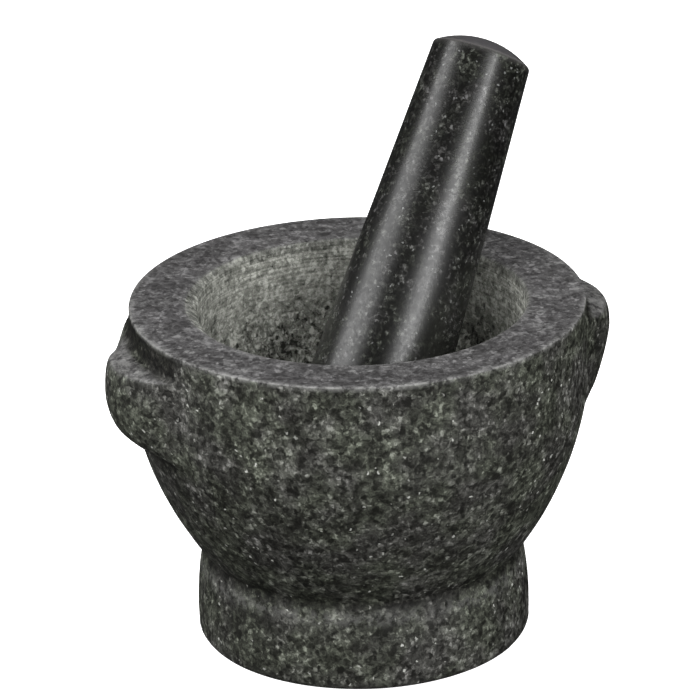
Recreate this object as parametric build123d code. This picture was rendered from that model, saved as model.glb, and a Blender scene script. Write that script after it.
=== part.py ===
from build123d import *
import math
import os

# A turned granite mortar on a solid foot, with a carved lug on each side, and its loose granite pestle.
# Millimetres. The origin is the centre of the foot's underside, +Z is up, and the lugs lie on +X and -X.

# Mortar, outside
MORTAR_HEIGHT = 139.5
RIM_RADIUS = 90.0
RIM_EDGE_ROUND = 1.5
BAND_BOTTOM = 99.0          # the near-upright band below the rim ends here
BAND_BOTTOM_RADIUS = 90.2
BELLY_HEIGHT = 71.0         # a point half way down the curved side
BELLY_RADIUS = 82.5
WAIST_HEIGHT = 37.0         # crease between bowl and foot
WAIST_RADIUS = 63.2
WAIST_BLEND = 3.0
FOOT_BULGE_HEIGHT = 11.0
FOOT_BULGE_RADIUS = 66.4
FOOT_FLAT_RADIUS = 64.0
FOOT_EDGE_ROUND = 4.0

# Mortar, inside: an upright wall above a round floor
MOUTH_RADIUS = 66.8
MOUTH_LIP_ROUND = 2.5
BOWL_DEPTH = 90.0
FLOOR_CENTRE_HEIGHT = MORTAR_HEIGHT - BOWL_DEPTH + MOUTH_RADIUS

# Side lugs, cut from the same stone
LUG_REACH = 102.7           # from the centre line to the lug's outermost point
LUG_HALF_DEPTH = 60.0       # half axes of the oval that the lug is in plan
LUG_HALF_WIDTH = 45.0
LUG_TOP = MORTAR_HEIGHT - 7.5
LUG_BOTTOM = 92.3
LUG_TOP_ROUND = 11.5
LUG_UNDER_ROUND = 17.5

# Pestle: a tapered bar with a low dome on the grip end and a full dome on the grinding end
PESTLE_LENGTH = 199.4
GRIP_RADIUS = 20.2
GRIP_DOME_HEIGHT = 6.2
GRIP_EDGE_ROUND = 1.2
GRIND_RADIUS = 28.9
GRIND_DOME_HEIGHT = 20.0

# How the pestle rests: grinding end on the floor, shaft against the inside of the mouth
PESTLE_LEAN = 34.9          # degrees from upright
PESTLE_HEADING = 37.6       # degrees from +X toward +Y
PESTLE_AT_RIM = (31.05, 22.35)  # where its centre line crosses the plane of the rim
PESTLE_BELOW_RIM = 102.3    # length of its centre line below that plane


def turned(profile):
    """Spin a closed outline of (radius, height) edges about the upright centre line."""
    return revolve(Plane.XZ * make_face(profile), Axis.Z)


def level_circles(solid):
    """The full circles among a turned solid's edges, lowest first, and smallest first at one level."""
    circles = [edge for edge in solid.edges().filter_by(GeomType.CIRCLE) if edge.is_closed]
    return sorted(circles, key=lambda edge: (round(edge.center().Z, 3), edge.length))


def stone_blank():
    """The outside of the mortar as one solid: foot, waist, belly, band and rim."""
    foot_edge = (FOOT_FLAT_RADIUS, 0)
    foot_side = (FOOT_BULGE_RADIUS, FOOT_EDGE_ROUND)
    foot_corner = (
        FOOT_FLAT_RADIUS + (FOOT_BULGE_RADIUS - FOOT_FLAT_RADIUS) * math.sin(math.radians(45)),
        FOOT_EDGE_ROUND * (1 - math.cos(math.radians(45))),
    )
    waist = (WAIST_RADIUS, WAIST_HEIGHT)
    foot_middle = (FOOT_BULGE_RADIUS, FOOT_BULGE_HEIGHT)
    belly = (BELLY_RADIUS, BELLY_HEIGHT)
    band = (BAND_BOTTOM_RADIUS, BAND_BOTTOM)
    rim = (RIM_RADIUS, MORTAR_HEIGHT)
    outline = [
        Line((0, 0), foot_edge),
        ThreePointArc(foot_edge, foot_corner, foot_side),
        ThreePointArc(foot_side, foot_middle, waist),
        ThreePointArc(waist, belly, band),
        Line(band, rim),
        Line(rim, (0, MORTAR_HEIGHT)),
        Line((0, MORTAR_HEIGHT), (0, 0)),
    ]
    blank = turned(outline)
    waist_edge = [edge for edge in level_circles(blank) if abs(edge.center().Z - WAIST_HEIGHT) < 0.01]
    return fillet(waist_edge, WAIST_BLEND)


def lug():
    """One side lug on +X: a thick oval slab, well rounded above and below, mostly buried in the wall."""
    plan = Pos(LUG_REACH - LUG_HALF_DEPTH, 0, LUG_BOTTOM) * Ellipse(LUG_HALF_DEPTH, LUG_HALF_WIDTH)
    slab = extrude(plan, LUG_TOP - LUG_BOTTOM)
    slab = fillet(slab.faces().sort_by(Axis.Z)[-1].edges(), LUG_TOP_ROUND)
    return fillet(slab.faces().sort_by(Axis.Z)[0].edges(), LUG_UNDER_ROUND)


def cavity():
    """The space inside the bowl."""
    floor_centre = (0, FLOOR_CENTRE_HEIGHT)
    wall_foot = (MOUTH_RADIUS, FLOOR_CENTRE_HEIGHT)
    floor_low = (0, MORTAR_HEIGHT - BOWL_DEPTH)
    outline = [
        CenterArc(floor_centre, MOUTH_RADIUS, -90, 90),
        Line(wall_foot, (MOUTH_RADIUS, MORTAR_HEIGHT)),
        Line((MOUTH_RADIUS, MORTAR_HEIGHT), (0, MORTAR_HEIGHT)),
        Line((0, MORTAR_HEIGHT), floor_low),
    ]
    return turned(outline)


def mortar():
    """The whole mortar, one piece of stone."""
    side_lug = lug()
    stone = stone_blank() + side_lug + Rot(0, 0, 180) * side_lug - cavity()
    mouth_edge, rim_edge = level_circles(stone)[-2:]
    stone = fillet(rim_edge, RIM_EDGE_ROUND)
    return fillet(mouth_edge, MOUTH_LIP_ROUND)


def pestle():
    """The pestle, first upright with its grinding end at the origin, then laid in its rest pose."""
    shoulder = (GRIND_RADIUS, GRIND_DOME_HEIGHT)
    grip_edge = (GRIP_RADIUS, PESTLE_LENGTH - GRIP_DOME_HEIGHT)
    grind_sphere = (GRIND_RADIUS**2 + GRIND_DOME_HEIGHT**2) / (2 * GRIND_DOME_HEIGHT)
    grip_sphere = (GRIP_RADIUS**2 + GRIP_DOME_HEIGHT**2) / (2 * GRIP_DOME_HEIGHT)
    outline = [
        RadiusArc((0, 0), shoulder, -grind_sphere),
        Line(shoulder, grip_edge),
        RadiusArc(grip_edge, (0, PESTLE_LENGTH), -grip_sphere),
        Line((0, PESTLE_LENGTH), (0, 0)),
    ]
    upright = turned(outline)
    upright = fillet(level_circles(upright)[-1], GRIP_EDGE_ROUND)
    leaning = Rot(0, 0, PESTLE_HEADING) * Rot(0, PESTLE_LEAN, 0) * Pos(0, 0, -PESTLE_BELOW_RIM) * upright
    return Pos(PESTLE_AT_RIM[0], PESTLE_AT_RIM[1], MORTAR_HEIGHT) * leaning


os.makedirs("parts", exist_ok=True)
export_step(mortar(), "parts/mortar.step")
export_step(pestle(), "parts/pestle.step")
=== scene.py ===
import math

import bmesh
import bpy
from mathutils import Matrix, Vector, noise


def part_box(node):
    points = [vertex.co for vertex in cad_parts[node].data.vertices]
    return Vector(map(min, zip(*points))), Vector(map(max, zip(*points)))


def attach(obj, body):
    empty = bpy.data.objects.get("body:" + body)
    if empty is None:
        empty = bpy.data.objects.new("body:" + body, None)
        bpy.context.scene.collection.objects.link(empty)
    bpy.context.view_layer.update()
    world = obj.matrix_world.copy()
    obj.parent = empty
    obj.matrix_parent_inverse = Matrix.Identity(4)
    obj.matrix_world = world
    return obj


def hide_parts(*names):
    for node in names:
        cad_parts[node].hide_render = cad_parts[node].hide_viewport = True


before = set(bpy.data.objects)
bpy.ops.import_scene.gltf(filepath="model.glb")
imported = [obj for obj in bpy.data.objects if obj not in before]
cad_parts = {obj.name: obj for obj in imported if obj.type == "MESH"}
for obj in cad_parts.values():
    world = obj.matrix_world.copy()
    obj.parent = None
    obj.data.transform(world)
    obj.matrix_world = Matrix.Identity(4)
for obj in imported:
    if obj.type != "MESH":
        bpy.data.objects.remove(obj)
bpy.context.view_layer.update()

# A turned granite mortar with a carved lug on each side, and its loose granite pestle. Metres.
MM = 0.001
MORTAR_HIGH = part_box("mortar")[1]

# Mortar, outside: the pairs are (radius, height) on the turned outline, from the foot up
RIM_HEIGHT = MORTAR_HIGH.z
RIM_RADIUS = 90.0 * MM
RIM_EDGE_ROUND = 0.8 * MM
FOOT_FLAT = (64.0 * MM, 0.0)
FOOT_CORNER = (65.7 * MM, 1.2 * MM)
FOOT_SIDE = (66.4 * MM, 4.0 * MM)
FOOT_BULGE = (66.5 * MM, 13.0 * MM)
WAIST = (63.7 * MM, 37.0 * MM)
BELLY = (82.5 * MM, 71.0 * MM)
BAND_BOTTOM = (90.2 * MM, 99.0 * MM)
WALL_FROM = (80.0 * MM, 60.0 * MM)  # a lug is only drawn from stone farther out and higher than this

# Mortar, inside: an upright wall above a round floor
MOUTH_RADIUS = 66.8 * MM
MOUTH_LIP_ROUND = 1.3 * MM
BOWL_DEPTH = 90.0 * MM
FLOOR_CENTRE_HEIGHT = RIM_HEIGHT - BOWL_DEPTH + MOUTH_RADIUS
GROOVE_PITCH = 5.2          # millimetres from one turning groove to the next

# Side lugs, an oval in plan that stands out of the wall
LUG_REACH = MORTAR_HIGH.x
LUG_HALF_DEPTH = 60.0 * MM
LUG_HALF_WIDTH = 45.0 * MM
LUG_TOP = RIM_HEIGHT - 5.0 * MM
LUG_LEDGE_SHARE = 0.76      # how far out the ledge runs before it turns down
LUG_BOTTOM = 91.0 * MM
LUG_BLEND = 2.5 * MM
LEAST_PROUD = 0.02 * MM     # where a lug stands out less than this, the wall is left alone
# The two lugs are not quite alike. "grow" scales how far a lug reaches, "ledge" is its ledge's height,
# "fall" is how much the ledge drops outwards, "shoulder" and "under" are the heights of the rounds above
# and below, and "straight" is how flat the underside is. The "back" numbers count toward the lug's back.
LEFT_LUG = {
    "grow": 1.03,
    "ledge": RIM_HEIGHT - 11.0 * MM,
    "back_rise": 4.5 * MM,
    "fall": 1.5 * MM,
    "back_fall": 9.0 * MM,
    "shoulder": 14.0 * MM,
    "under": 21.0 * MM,
    "straight": 0.0,
    "bottom": 93.0 * MM,
}
RIGHT_LUG = {
    "grow": 1.10,
    "ledge": RIM_HEIGHT - 8.5 * MM,
    "back_rise": 0.0 * MM,
    "fall": 2.5 * MM,
    "back_fall": 0.0 * MM,
    "shoulder": 9.5 * MM,
    "under": 28.0 * MM,
    "straight": 0.35,
    "bottom": 90.5 * MM,
}

# Pestle, drawn upright on its grinding end, then leaned into the bowl
PESTLE_LENGTH = 199.4 * MM
GRIP_RADIUS = 20.2 * MM
GRIP_DOME_HEIGHT = 6.2 * MM
GRIP_EDGE_ROUND = 0.8 * MM
GRIND_RADIUS = 28.9 * MM
GRIND_DOME_HEIGHT = 20.0 * MM
PESTLE_LEAN = math.radians(34.9)
PESTLE_HEADING = math.radians(37.6)
PESTLE_AT_RIM = (31.05 * MM, 22.35 * MM)
PESTLE_BELOW_RIM = 102.3 * MM
SHAFT_DULLNESS = 0.17       # how far the lower shaft has lost its polish, where 1 is the grinding end

# How finely the stone is cut
MORTAR_STEPS = 320
MORTAR_SPACING = 1.6 * MM
PESTLE_STEPS = 128
PESTLE_SPACING = 2.0 * MM


def smoothstep(low, high, value):
    """0 below low, 1 above high, and an even curve between."""
    share = min(max((value - low) / (high - low), 0.0), 1.0)
    return share * share * (3.0 - 2.0 * share)


def hill(away, width):
    """1 where away is 0, and falling evenly to nothing on both sides."""
    return math.exp(-((away / width) ** 2))


def heading_of(place):
    """Degrees from +X toward +Y, between -180 and 180."""
    return math.degrees(math.atan2(place.y, place.x))


# ---------------------------------------------------------------- turning


def arc_centre(start, middle, end):
    """Centre of the circle through three (radius, height) points."""
    ax, ay = middle[0] - start[0], middle[1] - start[1]
    bx, by = end[0] - start[0], end[1] - start[1]
    cross = 2.0 * (ax * by - ay * bx)
    square_a, square_b = ax * ax + ay * ay, bx * bx + by * by
    return (
        start[0] + (by * square_a - ay * square_b) / cross,
        start[1] + (ax * square_b - bx * square_a) / cross,
    )


def cut_straight(bm, tip, end, spacing):
    """Run the outline straight from its tip vertex to end, in even short edges."""
    path = Vector((end[0], 0.0, end[1])) - tip.co
    steps = max(1, round(path.length / spacing))
    for _ in range(steps):
        tip = bmesh.ops.extrude_vert_indiv(bm, verts=[tip])["verts"][0]
        bmesh.ops.translate(bm, verts=[tip], vec=path / steps)
    return tip


def cut_round(bm, tip, middle, end, spacing):
    """Run the outline from its tip vertex along the arc through middle to end."""
    start = (tip.co.x, tip.co.z)
    centre = arc_centre(start, middle, end)
    angles = [math.atan2(p[1] - centre[1], p[0] - centre[0]) for p in (start, middle, end)]
    turn = (angles[2] - angles[0]) % math.tau
    if (angles[1] - angles[0]) % math.tau > turn:
        turn -= math.tau
    length = abs(turn) * math.dist(start, centre)
    made = bmesh.ops.spin(
        bm,
        geom=[tip],
        cent=(centre[0], 0.0, centre[1]),
        axis=(0.0, -1.0, 0.0),
        angle=turn,
        steps=max(3, round(length / spacing)),
        use_merge=False,
        use_duplicate=False,
    )
    return next(part for part in made["geom_last"] if isinstance(part, bmesh.types.BMVert))


def corner_arc(corner, radius, turn_from, turn_to):
    """Middle and end of a round corner: the arc of one radius about a centre set by its start angle."""
    start_angle, end_angle = math.radians(turn_from), math.radians(turn_to)
    half_angle = (start_angle + end_angle) / 2.0
    centre = (corner[0] - radius * math.cos(start_angle), corner[1] - radius * math.sin(start_angle))
    middle = (centre[0] + radius * math.cos(half_angle), centre[1] + radius * math.sin(half_angle))
    end = (centre[0] + radius * math.cos(end_angle), centre[1] + radius * math.sin(end_angle))
    return middle, end


def turn_round(bm, steps):
    """Spin the outline about the upright centre line, close the poles, and face the skin outwards."""
    bmesh.ops.spin(
        bm,
        geom=bm.verts[:] + bm.edges[:],
        cent=(0.0, 0.0, 0.0),
        axis=(0.0, 0.0, 1.0),
        angle=math.tau,
        steps=steps,
        use_merge=True,
        use_duplicate=False,
    )
    bmesh.ops.remove_doubles(bm, verts=bm.verts[:], dist=1e-6)
    bmesh.ops.recalc_face_normals(bm, faces=bm.faces[:])


def finish_piece(bm, name, body, node, material):
    """Make the mesh an object that rides on its body and stands for its CAD node."""
    for face in bm.faces:
        face.smooth = True
    mesh = bpy.data.meshes.new(name)
    bm.to_mesh(mesh)
    bm.free()
    mesh.materials.append(material)
    piece = bpy.data.objects.new(name, mesh)
    bpy.context.scene.collection.objects.link(piece)
    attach(piece, body)
    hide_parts(node)
    return piece


# ---------------------------------------------------------------- mortar


def mortar_outline(bm):
    """Half outline of the mortar, from the middle of the underside to the middle of the bowl's floor."""
    spacing = MORTAR_SPACING
    tip = bm.verts.new((0.0, 0.0, 0.0))
    tip = cut_straight(bm, tip, FOOT_FLAT, 4.0 * spacing)
    tip = cut_round(bm, tip, FOOT_CORNER, FOOT_SIDE, 0.7 * spacing)
    tip = cut_round(bm, tip, FOOT_BULGE, WAIST, spacing)
    tip = cut_round(bm, tip, BELLY, BAND_BOTTOM, spacing)
    rim_side = (RIM_RADIUS, RIM_HEIGHT - RIM_EDGE_ROUND)
    tip = cut_straight(bm, tip, rim_side, spacing)
    tip = cut_round(bm, tip, *corner_arc(rim_side, RIM_EDGE_ROUND, 0, 90), spacing / 3.0)
    lip_start = (MOUTH_RADIUS + MOUTH_LIP_ROUND, RIM_HEIGHT)
    tip = cut_straight(bm, tip, lip_start, spacing)
    tip = cut_round(bm, tip, *corner_arc(lip_start, MOUTH_LIP_ROUND, 90, 180), spacing / 2.0)
    wall_foot = (MOUTH_RADIUS, FLOOR_CENTRE_HEIGHT)
    tip = cut_straight(bm, tip, wall_foot, spacing)
    tip = cut_round(bm, tip, *corner_arc(wall_foot, MOUTH_RADIUS, 0, -90), spacing)
    tip.co.x = 0.0


def lug_stand_out(turned, wall):
    """How far the lug stands out of the wall, at an angle from the lug's middle."""
    centre = LUG_REACH - LUG_HALF_DEPTH
    across, along = math.sin(turned) / LUG_HALF_WIDTH, math.cos(turned) / LUG_HALF_DEPTH
    offset = centre / LUG_HALF_DEPTH
    square = across * across + along * along
    inside = (offset * along) ** 2 - square * (offset * offset - 1.0)
    if inside <= 0.0 or math.cos(turned) <= 0.0:
        return 0.0
    proud = (offset * along + math.sqrt(inside)) / square - wall
    return 0.5 * (proud + math.sqrt(proud * proud + LUG_BLEND * LUG_BLEND)) - 0.15 * LUG_BLEND


def lug_section(share, proud, behind, shape):
    """Place on a lug's upright section, share 0 at its foot and 1 where the ledge meets the wall."""
    crest = proud * LUG_LEDGE_SHARE
    ledge_top = shape["ledge"] + shape["back_rise"] * behind
    fall = shape["fall"] + shape["back_fall"] * behind
    shoulder_top = ledge_top - fall * smoothstep(0.0, 8.0 * MM, proud)
    shoulder_foot = min(shape["ledge"] - shape["fall"] - shape["shoulder"], shoulder_top - 5.0 * MM)
    rise = shoulder_top - shoulder_foot
    bottom = LUG_BOTTOM + (shape["bottom"] - LUG_BOTTOM) * smoothstep(0.0, 6.0 * MM, proud)
    under_top = min(bottom + shape["under"], shoulder_foot)
    drop = under_top - bottom
    under = 1.1 * math.hypot(proud, drop)
    face = shoulder_foot - under_top
    shoulder = 1.1 * math.hypot(proud - crest, rise)
    ledge = math.hypot(crest, ledge_top - shoulder_top)
    wall = LUG_TOP - ledge_top
    run = share * (under + face + shoulder + ledge + wall)
    if run < under:
        part = run / under
        angle = part * math.pi / 2.0
        out = math.sin(angle) * (1.0 - shape["straight"]) + part * shape["straight"]
        height = math.cos(angle) * (1.0 - shape["straight"]) + (1.0 - part) * shape["straight"]
        return proud * out, under_top - drop * height
    run -= under
    if run < face:
        return proud, under_top + run
    run -= face
    if run < shoulder:
        angle = run / shoulder * math.pi / 2.0
        return crest + (proud - crest) * math.cos(angle), shoulder_foot + rise * math.sin(angle)
    run -= shoulder
    if run < ledge:
        left = 1.0 - run / ledge
        return crest * left, ledge_top - (ledge_top - shoulder_top) * left
    return 0.0, ledge_top + run - ledge


def carve_lugs(bm):
    """Draw both lugs out of the wall of the turned blank, and note the painted shade in the crease below
    them.
    """
    painted_shade = bm.verts.layers.float.new("painted_shade")
    span = LUG_TOP - LUG_BOTTOM
    for vert in bm.verts:
        radius = math.hypot(vert.co.x, vert.co.y)
        if radius < WALL_FROM[0] or vert.co.z < WALL_FROM[1]:
            continue
        shape = RIGHT_LUG if vert.co.x > 0.0 else LEFT_LUG
        heading = math.atan2(vert.co.y, abs(vert.co.x))
        behind = smoothstep(1.0, 17.0, math.degrees(heading))
        proud = lug_stand_out(heading, RIM_RADIUS) * shape["grow"]
        if proud < LEAST_PROUD:
            continue
        drawn = smoothstep(0.0, 2.5 * MM, proud)
        # Painted shade in the crease under each lug.
        below = hill(vert.co.z - LUG_BOTTOM, 3.0 * MM)
        vert[painted_shade] = smoothstep(1.0 * MM, 5.0 * MM, proud) * 0.8 * below
        share = (vert.co.z - LUG_BOTTOM) / span
        if not 0.0 < share < 1.0:
            continue
        out, height = lug_section(share, proud, behind, shape)
        new_height = vert.co.z + (height - vert.co.z) * drawn
        new_radius = wall_radius(new_height) + out
        scale = new_radius / radius
        vert.co.x *= scale
        vert.co.y *= scale
        vert.co.z = new_height


def paint_ledge_shade(bm):
    """Note painted shade on the wall between each lug's ledge and the rim, and on the side of the lug on +X.
    """
    painted_shade = bm.verts.layers.float["painted_shade"]
    for vert in bm.verts:
        heading = math.atan2(vert.co.y, abs(vert.co.x))
        radius = math.hypot(vert.co.x, vert.co.y)
        proud = lug_stand_out(heading, RIM_RADIUS)
        if proud < LEAST_PROUD or radius < WALL_FROM[0]:
            continue
        out = radius - RIM_RADIUS
        # Painted shade on the upright wall between each ledge and the rim above it.
        over = smoothstep(RIM_HEIGHT - 13.5 * MM, RIM_HEIGHT - 9.0 * MM, vert.co.z)
        over *= smoothstep(RIM_HEIGHT - 0.6 * MM, RIM_HEIGHT - 1.8 * MM, vert.co.z)
        over *= smoothstep(2.5 * MM, 0.5 * MM, out)
        # Painted shade darkens the side of the lug on +X.
        right_lug_shade = 0.30 * smoothstep(0.0, 4.0 * MM, out) if vert.co.x > 0.0 else 0.0
        vert[painted_shade] = max(vert[painted_shade], smoothstep(0.3 * MM, 2.5 * MM, proud) * over, right_lug_shade)


def wall_radius(height):
    """Radius of the turned outside at a height between the waist and the rim."""
    if height >= BAND_BOTTOM[1]:
        share = (height - BAND_BOTTOM[1]) / (RIM_HEIGHT - BAND_BOTTOM[1])
        return BAND_BOTTOM[0] + (RIM_RADIUS - BAND_BOTTOM[0]) * share
    centre = arc_centre(WAIST, BELLY, BAND_BOTTOM)
    radius = math.dist(WAIST, centre)
    return centre[0] + math.sqrt(radius * radius - (height - centre[1]) ** 2)


def out_of_round(place):
    """How far the hand-trued rim strays outwards, in millimetres."""
    heading = heading_of(place)
    stray = 1.4 * hill(heading - 30.0, 34.0) + 0.7 * hill(heading - 105.0, 45.0)
    stray *= smoothstep(0.100, 0.125, place.z) * smoothstep(0.076, 0.088, math.hypot(place.x, place.y))
    return Vector((place.x, place.y, 0.0)).normalized() * stray


def soft_lip(place):
    """How far the bowl's mouth leans inwards below its left edge, in millimetres."""
    side = hill(heading_of(place) % 360.0 - 178.0, 48.0)
    band = smoothstep(RIM_HEIGHT, RIM_HEIGHT - 4.0 * MM, place.z)
    band *= smoothstep(RIM_HEIGHT - 34.0 * MM, RIM_HEIGHT - 8.0 * MM, place.z)
    band *= smoothstep(MOUTH_RADIUS + 2.5 * MM, MOUTH_RADIUS + 0.5 * MM, math.hypot(place.x, place.y))
    return Vector((place.x, place.y, 0.0)).normalized() * -4.0 * side * band


def waist_painted_shade(height):
    """How much shade is painted into the crease at the waist: soft above it, and quickly gone below it."""
    above = height - WAIST[1] + 1.6 * MM
    return 0.72 * hill(above, 5.5 * MM if above > 0.0 else 1.8 * MM)


def bowl_share(place):
    """1 inside the bowl, 0 outside it, with the change at the round of the mouth's lip."""
    radius = math.hypot(place.x, place.y)
    from_bowl = math.hypot(radius, min(place.z - FLOOR_CENTRE_HEIGHT, 0.0))
    return smoothstep(MOUTH_RADIUS + 1.6 * MM, MOUTH_RADIUS + 0.1 * MM, from_bowl)


def rim_top_share(place):
    """1 on the flat top of the rim, 0 elsewhere."""
    return smoothstep(RIM_HEIGHT - 1.0 * MM, RIM_HEIGHT - 0.2 * MM, place.z) * (1.0 - bowl_share(place))


def note_zones(bm):
    """Note where the stone is pecked, honed and worn, and where shade is painted on it."""
    pecked = bm.verts.layers.float.new("pecked")
    honed_top = bm.verts.layers.float.new("honed_top")
    worn = bm.verts.layers.float.new("worn")
    painted_shade = bm.verts.layers.float["painted_shade"]
    bm.normal_update()
    for vert in bm.verts:
        height = vert.co.z
        radius = math.hypot(vert.co.x, vert.co.y)
        inside = bowl_share(vert.co)
        if radius > 50.0 * MM:
            # Painted shade in the crease at the waist and along the foot's bottom edge.
            vert[painted_shade] = max(vert[painted_shade], waist_painted_shade(height), 0.5 * hill(height, 4.0 * MM))
        # Painted shadow of the leaning pestle on the bowl's inner wall beside it.
        pestle_shadow = 0.32 * hill(heading_of(vert.co) - 74.0, 16.0)
        pestle_shadow *= smoothstep(RIM_HEIGHT, RIM_HEIGHT - 24.5 * MM, height)
        pestle_shadow *= smoothstep(52.0 * MM, 80.0 * MM, height)
        vert[painted_shade] = max(vert[painted_shade], inside * pestle_shadow)
        ragged = noise.noise(vert.co / MM * 0.11) * 0.35
        below_lip = smoothstep(RIM_HEIGHT - 1.5 * MM, RIM_HEIGHT - (7.0 + 9.0 * ragged) * MM, height)
        vert[pecked] = inside * (0.45 + 0.55 * below_lip)
        ledge = smoothstep(RIM_RADIUS + 1.0 * MM, RIM_RADIUS + 4.0 * MM, radius)
        ledge *= smoothstep(0.20, 0.85, vert.normal.z)
        vert[honed_top] = max(rim_top_share(vert.co), ledge)
        wear = hill(math.hypot(radius - RIM_RADIUS, height - RIM_HEIGHT), 0.9 * MM)
        wear += 0.6 * hill(math.hypot(radius - MOUTH_RADIUS, height - RIM_HEIGHT), 1.6 * MM)
        wear += 0.3 * hill(math.hypot(radius - FOOT_SIDE[0], height), 2.2 * MM)
        # A paler band round the top of the foot's bulge.
        if radius > 60.0 * MM:
            wear += 0.3 * hill(height - 30.5 * MM, 2.8 * MM)
        vert[worn] = min(wear + 0.7 * ledge, 1.0)


def weather_mortar(bm):
    """Work the stone's surface: hand-dressed waves outside, pecked pits and turning grooves inside."""
    bm.normal_update()
    moves = []
    for vert in bm.verts:
        place = vert.co / MM
        inside = bowl_share(vert.co)
        wave = 0.22 * noise.noise(place * 0.035) + 0.09 * noise.noise(place * 0.11)
        grain = 0.05 * noise.noise(place * 0.45)
        pits = -0.30 * abs(noise.noise(place * 0.30)) - 0.22 * abs(noise.noise(place * 0.62))
        turned = place.z * math.tau / GROOVE_PITCH + noise.noise(place * 0.05) * 2.0
        grooves = -0.12 * (0.5 + 0.5 * math.sin(turned))
        off_table = smoothstep(0.0, 1.5 * MM, vert.co.z)
        outside = (1.0 - inside) * off_table * (1.0 - 0.75 * rim_top_share(vert.co))
        depth = inside * (pits + grooves) + outside * (wave + grain)
        lip = hill(math.hypot(place.x, place.y) - MOUTH_RADIUS / MM, 2.2)
        lip *= smoothstep(RIM_HEIGHT / MM - 4.0, RIM_HEIGHT / MM, place.z)
        depth -= 0.7 * lip * smoothstep(-20.0, 30.0, place.y)
        moves.append(vert.normal * depth * MM + out_of_round(vert.co) * MM + soft_lip(vert.co) * MM)
    for vert, move in zip(bm.verts, moves):
        vert.co += move


def build_mortar(material):
    """The mortar: one block of granite, turned, carved and worked."""
    bm = bmesh.new()
    mortar_outline(bm)
    turn_round(bm, MORTAR_STEPS)
    carve_lugs(bm)
    paint_ledge_shade(bm)
    note_zones(bm)
    weather_mortar(bm)
    bmesh.ops.recalc_face_normals(bm, faces=bm.faces[:])
    return finish_piece(bm, "granite_mortar", "mortar", "mortar", material)


# ---------------------------------------------------------------- pestle


def dome_middle(radius, height, start_height, upward):
    """A point on a dome's outline, half way between its shoulder and its pole."""
    sphere = (radius * radius + height * height) / (2.0 * height)
    half_angle = math.asin(min(radius / sphere, 1.0)) / 2.0
    rise = sphere * math.cos(half_angle) - (sphere - height)
    return (sphere * math.sin(half_angle), start_height + (rise if upward else height - rise))


def pestle_outline(bm):
    """Half outline of the upright pestle, from the tip of the grinding end to the top of the grip."""
    spacing = PESTLE_SPACING
    grip_height = PESTLE_LENGTH - GRIP_DOME_HEIGHT
    tip = bm.verts.new((0.0, 0.0, 0.0))
    grind_middle = dome_middle(GRIND_RADIUS, GRIND_DOME_HEIGHT, 0.0, False)
    tip = cut_round(bm, tip, grind_middle, (GRIND_RADIUS, GRIND_DOME_HEIGHT), spacing)
    taper = math.atan2(GRIND_RADIUS - GRIP_RADIUS, grip_height - GRIND_DOME_HEIGHT)
    shaft_end = (GRIP_RADIUS + GRIP_EDGE_ROUND * math.sin(taper), grip_height - GRIP_EDGE_ROUND)
    tip = cut_straight(bm, tip, shaft_end, spacing)
    shoulder = (GRIP_RADIUS - GRIP_EDGE_ROUND, grip_height + 0.55 * GRIP_EDGE_ROUND)
    shoulder_middle = (GRIP_RADIUS - 0.25 * GRIP_EDGE_ROUND, grip_height - 0.05 * GRIP_EDGE_ROUND)
    tip = cut_round(bm, tip, shoulder_middle, shoulder, spacing / 5.0)
    cap_middle = dome_middle(GRIP_RADIUS, GRIP_DOME_HEIGHT, grip_height, True)
    tip = cut_round(bm, tip, cap_middle, (0.0, PESTLE_LENGTH), spacing)
    tip.co.x = 0.0


def weather_pestle(bm):
    """A faint hand-ground wave, and the zones: dull at the grinding end, worn on the grip's edge."""
    dulled = bm.verts.layers.float.new("pecked")
    top = bm.verts.layers.float.new("honed_top")
    worn = bm.verts.layers.float.new("worn")
    bm.normal_update()
    edge_height = (PESTLE_LENGTH - GRIP_DOME_HEIGHT) / MM
    moves = []
    for vert in bm.verts:
        place = vert.co / MM
        ragged = 8.0 * noise.noise(place * 0.09)
        ground = smoothstep(34.0, 14.0, place.z + ragged)
        handled = SHAFT_DULLNESS * smoothstep(175.0, 95.0, place.z)
        vert[dulled] = max(ground, handled)
        radius = math.hypot(place.x, place.y)
        vert[worn] = hill(math.hypot(radius - GRIP_RADIUS / MM, place.z - edge_height), 0.7)
        vert[top] = smoothstep(edge_height - 0.4, edge_height + 0.8, place.z)
        moves.append(vert.normal * 0.05 * MM * noise.noise(place * 0.05))
    for vert, move in zip(bm.verts, moves):
        vert.co += move


def build_pestle(material):
    """The pestle, turned upright and then leaned into the bowl."""
    bm = bmesh.new()
    pestle_outline(bm)
    turn_round(bm, PESTLE_STEPS)
    weather_pestle(bm)
    bmesh.ops.translate(bm, verts=bm.verts[:], vec=(0.0, 0.0, -PESTLE_BELOW_RIM))
    lean = Matrix.Rotation(PESTLE_HEADING, 3, "Z") @ Matrix.Rotation(PESTLE_LEAN, 3, "Y")
    bmesh.ops.rotate(bm, verts=bm.verts[:], cent=(0.0, 0.0, 0.0), matrix=lean)
    bmesh.ops.translate(bm, verts=bm.verts[:], vec=(*PESTLE_AT_RIM, RIM_HEIGHT))
    return finish_piece(bm, "granite_pestle", "pestle", "pestle", material)


# ---------------------------------------------------------------- stone


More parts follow.
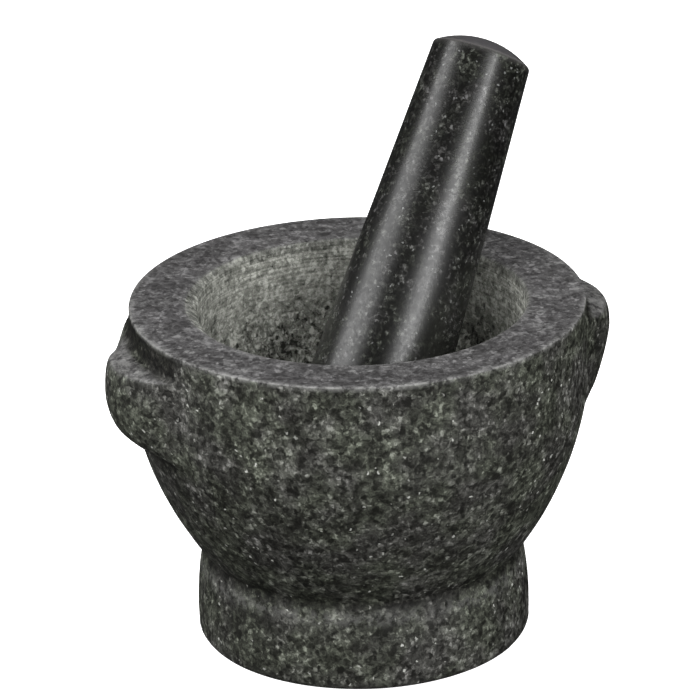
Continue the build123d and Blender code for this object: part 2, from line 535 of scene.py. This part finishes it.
class Finish:
    """A material's node tree, with short calls to add nodes and join them."""

    def __init__(self, name):
        self.material = bpy.data.materials.new(name)
        self.material.use_nodes = True
        self.tree = self.material.node_tree
        self.shader = self.tree.nodes["Principled BSDF"]

    def add(self, kind, **settings):
        """A new node of this kind with these settings."""
        node = self.tree.nodes.new(kind)
        for key, value in settings.items():
            setattr(node, key, value)
        return node

    def feed(self, socket, value):
        """Join an output to a socket, or set the socket to a plain value."""
        if isinstance(value, bpy.types.NodeSocket):
            self.tree.links.new(value, socket)
        else:
            socket.default_value = value

    def reckon(self, operation, first, second=0.0, third=0.0, clamp=False):
        """The result of one arithmetic step."""
        node = self.add("ShaderNodeMath", operation=operation, use_clamp=clamp)
        for socket, value in zip(node.inputs, (first, second, third)):
            self.feed(socket, value)
        return node.outputs[0]

    def stretch(self, value, low, high, to_low=0.0, to_high=1.0):
        """The value spread smoothly from the range low to high onto the range to_low to to_high."""
        node = self.add("ShaderNodeMapRange", clamp=True, interpolation_type="SMOOTHSTEP")
        for socket, part in zip(node.inputs, (value, low, high, to_low, to_high)):
            self.feed(socket, part)
        return node.outputs[0]

    def grade(self, value, stops):
        """Colour ramp from (place, colour) stops."""
        node = self.add("ShaderNodeValToRGB")
        ramp = node.color_ramp
        while len(ramp.elements) < len(stops):
            ramp.elements.new(0.5)
        for element, (place, colour) in zip(ramp.elements, stops):
            element.position = place
            element.color = (*colour, 1.0)
        self.feed(node.inputs["Fac"], value)
        return node.outputs["Color"]

    def mix(self, share, first, second, blend="MIX"):
        """Mix of two colours, each an output or three plain numbers."""
        node = self.add("ShaderNodeMix", data_type="RGBA", blend_type=blend, clamp_factor=True)
        self.feed(node.inputs["Factor"], share)
        for key, colour in (("A", first), ("B", second)):
            plain = not isinstance(colour, bpy.types.NodeSocket)
            self.feed(node.inputs[key], (*colour, 1.0) if plain else colour)
        return node.outputs["Result"]

    def mix_value(self, share, first, second):
        """Mix of two plain numbers, where mix is for colours."""
        node = self.add("ShaderNodeMix", data_type="FLOAT", clamp_factor=True)
        self.feed(node.inputs["Factor"], share)
        self.feed(node.inputs["A"], first)
        self.feed(node.inputs["B"], second)
        return node.outputs["Result"]

    def zone(self, name):
        """The zone that was noted on the mesh under this name."""
        node = self.add("ShaderNodeAttribute", attribute_name=name, attribute_type="GEOMETRY")
        return node.outputs["Fac"]

    def cloud(self, place, per_mm, detail=3.0, rough=0.55, twist=0.0):
        """Soft cloudy noise."""
        node = self.add("ShaderNodeTexNoise", noise_dimensions="3D")
        self.feed(node.inputs["Vector"], place)
        node.inputs["Scale"].default_value = per_mm
        node.inputs["Detail"].default_value = detail
        node.inputs["Roughness"].default_value = rough
        node.inputs["Distortion"].default_value = twist
        return node

    def grains(self, place, per_mm):
        """Separate cells, each with a random colour and the distance from its middle."""
        node = self.add("ShaderNodeTexVoronoi", voronoi_dimensions="3D", feature="F1")
        self.feed(node.inputs["Vector"], place)
        node.inputs["Scale"].default_value = per_mm
        return node


def stone_places(finish, coarse):
    """The stone's own coordinates in millimetres, plain and gently bent so that grains come out uneven.

    A coarse below 1 makes every grain smaller by that much.
    """
    plain = finish.add("ShaderNodeVectorMath", operation="SCALE")
    finish.feed(plain.inputs[0], finish.add("ShaderNodeTexCoord").outputs["Object"])
    plain.inputs["Scale"].default_value = 1.0 / (MM * coarse)
    bend = finish.cloud(plain.outputs[0], 0.55, detail=2.0)
    shift = finish.add("ShaderNodeVectorMath", operation="MULTIPLY_ADD")
    finish.feed(shift.inputs[0], bend.outputs["Color"])
    shift.inputs[1].default_value = (2.6, 2.6, 2.6)
    finish.feed(shift.inputs[2], plain.outputs[0])
    return plain.outputs[0], shift.outputs[0]


def crystals(finish, place, per_mm, share, cluster):
    """A layer of separate crystals: 0 between them, up to 1 inside the few that are picked."""
    cells = finish.grains(place, per_mm)
    pick = finish.add("ShaderNodeSeparateColor")
    finish.feed(pick.inputs[0], cells.outputs["Color"])
    chance = finish.reckon("MULTIPLY_ADD", cluster, 0.9, finish.reckon("SUBTRACT", pick.outputs[0], 0.45))
    chosen = finish.stretch(chance, 0.94 - share, 1.0 - share)
    shape = finish.stretch(cells.outputs["Distance"], 0.52, 0.30)
    strength = finish.reckon("MULTIPLY_ADD", pick.outputs[1], 0.7, 0.3)
    return finish.reckon("MULTIPLY", finish.reckon("MULTIPLY", chosen, shape), strength)


def granite(name, ladder, fleck, fleck_share, roughness, coarse=1.0):
    """Speckled granite, dark to pale along the ladder, with a few bright flecks.

    Gives the finish, its plain and its bent coordinates, and its colour, tone, relief and roughness.
    """
    finish = Finish(name)
    plain, bent = stone_places(finish, coarse)
    mottle = finish.cloud(plain, 0.09, detail=2.0).outputs["Fac"]
    veins = finish.cloud(bent, 0.31, detail=3.0, rough=0.60, twist=0.7).outputs["Fac"]
    dust = finish.cloud(plain, 1.2, detail=2.0).outputs["Fac"]
    tone = finish.reckon("MULTIPLY_ADD", veins, 1.8, finish.reckon("MULTIPLY_ADD", mottle, 0.55, -0.905))
    tone = finish.reckon("MULTIPLY_ADD", dust, 0.30, tone)
    tone = finish.reckon("MULTIPLY_ADD", crystals(finish, bent, 0.36, 0.28, mottle), 0.36, tone)
    tone = finish.reckon("MULTIPLY_ADD", crystals(finish, bent, 0.62, 0.30, mottle), 0.32, tone)
    mica = crystals(finish, bent, 0.40, 0.25, finish.cloud(plain, 0.2).outputs["Fac"])
    tone = finish.reckon("MULTIPLY_ADD", mica, -0.30, tone, clamp=True)
    colour = finish.grade(tone, ladder)
    hue = finish.cloud(plain, 0.05, detail=3.0).outputs["Fac"]
    tint = finish.grade(hue, [(0.40, (0.97, 1.03, 0.93)), (0.60, (1.01, 0.99, 1.04))])
    colour = finish.mix(1.0, colour, tint, blend="MULTIPLY")
    sparks = finish.grains(bent, 0.60)
    spark_pick = finish.add("ShaderNodeSeparateColor")
    finish.feed(spark_pick.inputs[0], sparks.outputs["Color"])
    spark = finish.reckon(
        "MULTIPLY",
        finish.stretch(sparks.outputs["Distance"], 0.45, 0.25),
        finish.stretch(spark_pick.outputs[1], 1.0 - fleck_share, 1.0),
    )
    colour = finish.mix(spark, colour, fleck)
    relief = finish.reckon("MULTIPLY_ADD", dust, 0.6, finish.reckon("MULTIPLY", tone, 0.6))
    shine = finish.stretch(tone, 0.0, 1.0, roughness + 0.06, roughness - 0.08)
    return finish, plain, bent, colour, tone, relief, shine


def honed_granite():
    """The mortar's stone: matt outside, smoother on the rim's top, pale and pecked inside, with painted
    shade in its creases and recesses.
    """
    finish, plain, bent, colour, tone, relief, shine = granite(
        "honed_granite",
        ladder=[
            (0.08, (0.0045, 0.0045, 0.0035)),
            (0.27, (0.0117, 0.0117, 0.0098)),
            (0.50, (0.0335, 0.034, 0.0293)),
            (0.73, (0.078, 0.079, 0.0695)),
            (1.00, (0.185, 0.187, 0.170)),
        ],
        fleck=(0.36, 0.365, 0.34),
        fleck_share=0.03,
        roughness=0.66,
    )
    pecked, honed_top = finish.zone("pecked"), finish.zone("honed_top")
    worn, painted_shade = finish.zone("worn"), finish.zone("painted_shade")
    rings = finish.add("ShaderNodeVectorMath", operation="MULTIPLY")
    finish.feed(rings.inputs[0], plain)
    rings.inputs[1].default_value = (0.02, 0.02, 1.0)
    lines = finish.cloud(rings.outputs[0], 1.1, detail=2.0).outputs["Fac"]
    height = finish.add("ShaderNodeSeparateXYZ")
    finish.feed(height.inputs[0], plain)
    near_mouth = finish.stretch(height.outputs["Z"], 106.0, 130.0)
    deep = finish.reckon(
        "MULTIPLY",
        finish.stretch(height.outputs["Z"], 122.0, 84.0),
        finish.stretch(height.outputs["Z"], 54.0, 84.0, 0.3, 1.0),
    )
    chips = finish.cloud(bent, 0.70, detail=4.0, rough=0.75).outputs["Fac"]
    pit_strength = finish.reckon("MULTIPLY_ADD", deep, 0.75, 0.55)
    pits = finish.reckon("MULTIPLY", finish.reckon("SUBTRACT", tone, 0.42), pit_strength)
    pale_tone = finish.reckon("MULTIPLY_ADD", chips, 0.85, finish.reckon("MULTIPLY_ADD", deep, -0.17, 0.105))
    pale_tone = finish.reckon("ADD", pale_tone, pits)
    line_mark = finish.reckon("MULTIPLY", finish.reckon("SUBTRACT", lines, 0.5), near_mouth)
    pale_tone = finish.reckon("MULTIPLY_ADD", line_mark, 0.6, pale_tone, clamp=True)
    pale = finish.grade(
        pale_tone,
        [(0.15, (0.022, 0.022, 0.019)), (0.50, (0.215, 0.220, 0.195)), (0.80, (0.53, 0.535, 0.49))],
    )
    colour = finish.mix(finish.reckon("MULTIPLY", pecked, 0.92), colour, pale)
    honed = finish.grade(
        tone,
        [(0.15, (0.032, 0.0308, 0.031)), (0.50, (0.073, 0.0705, 0.0722)), (0.85, (0.154, 0.151, 0.153))],
    )
    colour = finish.mix(finish.reckon("MULTIPLY", honed_top, 0.85), colour, honed)
    bite = finish.stretch(finish.cloud(plain, 0.35, detail=5.0, rough=0.7).outputs["Fac"], 0.40, 0.60)
    scuffs = finish.reckon("MULTIPLY", finish.reckon("MULTIPLY", worn, bite), 0.6)
    colour = finish.mix(scuffs, colour, (0.28, 0.28, 0.27))
    # Painted shade: darkens the stone in the creases at the waist, under the lugs and along the foot, on the
    # wall above each ledge, on the lug on +X, and as the pestle's painted shadow inside the bowl.
    shade = finish.grade(painted_shade, [(0.0, (1.0, 1.0, 1.0)), (1.0, (0.20, 0.195, 0.18))])
    colour = finish.mix(1.0, colour, shade, blend="MULTIPLY")
    finish.feed(finish.shader.inputs["Base Color"], colour)
    finish.feed(finish.shader.inputs["Roughness"], finish.mix_value(honed_top, shine, 0.5))
    bumps = finish.reckon("MULTIPLY_ADD", lines, 0.30, relief)
    bumps = finish.reckon("MULTIPLY_ADD", finish.reckon("MULTIPLY", chips, pecked), 1.4, bumps)
    bump = finish.add("ShaderNodeBump")
    bump.inputs["Strength"].default_value = 0.5
    bump.inputs["Distance"].default_value = 0.45 * MM
    finish.feed(bump.inputs["Height"], bumps)
    finish.feed(finish.shader.inputs["Normal"], bump.outputs["Normal"])
    finish.shader.inputs["Specular IOR Level"].default_value = 0.2
    return finish.material


def polished_granite():
    """The pestle's stone: the same granite, darker under its polish, dull at the grinding end."""
    finish, _, _, colour, tone, relief, shine = granite(
        "polished_granite",
        ladder=[
            (0.08, (0.0012, 0.0012, 0.0009)),
            (0.38, (0.0044, 0.0044, 0.0038)),
            (0.60, (0.015, 0.015, 0.0137)),
            (0.78, (0.040, 0.040, 0.037)),
            (1.00, (0.085, 0.085, 0.082)),
        ],
        fleck=(0.14, 0.144, 0.14),
        fleck_share=0.05,
        roughness=0.25,
        coarse=0.72,
    )
    dulled, worn, cap = finish.zone("pecked"), finish.zone("worn"), finish.zone("honed_top")
    dull = finish.grade(
        tone,
        [(0.15, (0.020, 0.020, 0.018)), (0.50, (0.075, 0.075, 0.070)), (0.85, (0.23, 0.23, 0.22))],
    )
    colour = finish.mix(finish.stretch(dulled, SHAFT_DULLNESS, 1.0, 0.0, 0.85), colour, dull)
    colour = finish.mix(finish.reckon("MULTIPLY", cap, 0.55), colour, (0.085, 0.081, 0.086))
    colour = finish.mix(finish.reckon("MULTIPLY", worn, 0.35), colour, (0.20, 0.19, 0.19))
    finish.feed(finish.shader.inputs["Base Color"], colour)
    roughness = finish.mix_value(dulled, shine, 0.6)
    finish.feed(finish.shader.inputs["Roughness"], finish.mix_value(cap, roughness, 0.42))
    bump = finish.add("ShaderNodeBump")
    bump.inputs["Strength"].default_value = 0.08
    bump.inputs["Distance"].default_value = 0.2 * MM
    finish.feed(bump.inputs["Height"], relief)
    finish.feed(finish.shader.inputs["Normal"], bump.outputs["Normal"])
    finish.shader.inputs["Specular IOR Level"].default_value = 0.62
    return finish.material


# ---------------------------------------------------------------- studio

VIEW_AZIMUTH = math.radians(-17.8)
VIEW_ELEVATION = math.radians(22.455)
VIEW_ROLL = math.radians(-1.318)
VIEW_DISTANCE = 2.075
VIEW_LENS = 269.8
VIEW_TARGET_SIDE = -3.252 * MM
VIEW_TARGET_HEIGHT = 117.79 * MM
LAMP_TARGET = Vector((0.0, 0.0, 0.12))


def toward(azimuth, elevation):
    """Unit vector from the object to a place so many degrees right of the camera and above the table."""
    turn, rise = VIEW_AZIMUTH + math.radians(azimuth), math.radians(elevation)
    return Vector((math.sin(turn) * math.cos(rise), -math.cos(turn) * math.cos(rise), math.sin(rise)))


def set_camera():
    """The camera, above and in front, a little round to the lug on -X."""
    data = bpy.data.cameras.new("camera")
    data.lens = VIEW_LENS
    camera = bpy.data.objects.new("camera", data)
    bpy.context.scene.collection.objects.link(camera)
    side = Vector((math.cos(VIEW_AZIMUTH), math.sin(VIEW_AZIMUTH), 0.0))
    target = side * VIEW_TARGET_SIDE + Vector((0.0, 0.0, VIEW_TARGET_HEIGHT))
    back = toward(0.0, math.degrees(VIEW_ELEVATION))
    aim = back.to_track_quat("Z", "Y").to_matrix().to_4x4()
    roll = Matrix.Rotation(VIEW_ROLL, 4, "Z")
    camera.matrix_world = Matrix.Translation(target + back * VIEW_DISTANCE) @ aim @ roll
    bpy.context.scene.camera = camera


def softbox(name, azimuth, elevation, distance, width, height, watts):
    """A soft rectangular lamp that faces the middle of the object."""
    data = bpy.data.lights.new(name, "AREA")
    data.shape = "RECTANGLE"
    data.size, data.size_y = width, height
    data.energy = watts
    lamp = bpy.data.objects.new(name, data)
    bpy.context.scene.collection.objects.link(lamp)
    back = toward(azimuth, elevation)
    aim = back.to_track_quat("Z", "Y").to_matrix().to_4x4()
    lamp.matrix_world = Matrix.Translation(LAMP_TARGET + back * distance) @ aim
    return lamp


def set_floor():
    """A wide pale floor that gives no light back onto the stone."""
    bm = bmesh.new()
    bmesh.ops.create_circle(bm, cap_ends=True, radius=6.0, segments=64)
    mesh = bpy.data.meshes.new("floor")
    bm.to_mesh(mesh)
    bm.free()
    pale = Finish("pale_floor")
    pale.shader.inputs["Base Color"].default_value = (0.85, 0.85, 0.85, 1.0)
    pale.shader.inputs["Roughness"].default_value = 0.9
    pale.shader.inputs["Specular IOR Level"].default_value = 0.1
    pale.shader.inputs["Emission Color"].default_value = (1.0, 1.0, 1.0, 1.0)
    pale.shader.inputs["Emission Strength"].default_value = 0.85
    mesh.materials.append(pale.material)
    floor = bpy.data.objects.new("floor", mesh)
    bpy.context.scene.collection.objects.link(floor)
    floor.visible_glossy = False
    floor.visible_diffuse = False


def set_surroundings():
    """A dim room for the stone, which the camera sees as plain white."""
    world = bpy.data.worlds.new("studio")
    world.use_nodes = True
    tree = world.node_tree
    room = tree.nodes["Background"]
    room.inputs["Color"].default_value = (0.03, 0.03, 0.031, 1.0)
    seen = tree.nodes.new("ShaderNodeBackground")
    seen.inputs["Color"].default_value = (1.0, 1.0, 1.0, 1.0)
    switch = tree.nodes.new("ShaderNodeMixShader")
    path = tree.nodes.new("ShaderNodeLightPath")
    tree.links.new(path.outputs["Is Camera Ray"], switch.inputs["Fac"])
    tree.links.new(room.outputs["Background"], switch.inputs[1])
    tree.links.new(seen.outputs["Background"], switch.inputs[2])
    tree.links.new(switch.outputs["Shader"], tree.nodes["World Output"].inputs["Surface"])
    bpy.context.scene.world = world


def set_lamps():
    """Two softboxes that show in the polish, and fills that don't."""
    softbox("left_softbox", -79.0, 22.0, 1.1, 0.95, 1.1, 13.5)
    softbox("right_softbox", 33.0, 12.0, 1.4, 0.72, 1.2, 23.0)
    fills = (
        softbox("high_left_fill", -62.0, 57.0, 1.2, 0.9, 0.9, 9.5),
        softbox("front_fill", -4.0, 27.0, 1.6, 1.4, 0.9, 10.0),
        softbox("low_front_fill", 0.0, 8.0, 1.6, 1.4, 0.8, 7.0),
        softbox("right_fill", 97.0, 34.0, 1.2, 0.9, 0.9, 6.5),
        softbox("back_fill", 165.0, 28.0, 1.5, 1.4, 1.0, 15.0),
    )
    for fill in fills:
        fill.visible_glossy = False


build_mortar(honed_granite())
build_pestle(polished_granite())
set_camera()
set_floor()
set_surroundings()
set_lamps()
bpy.context.scene.view_settings.view_transform = "Standard"
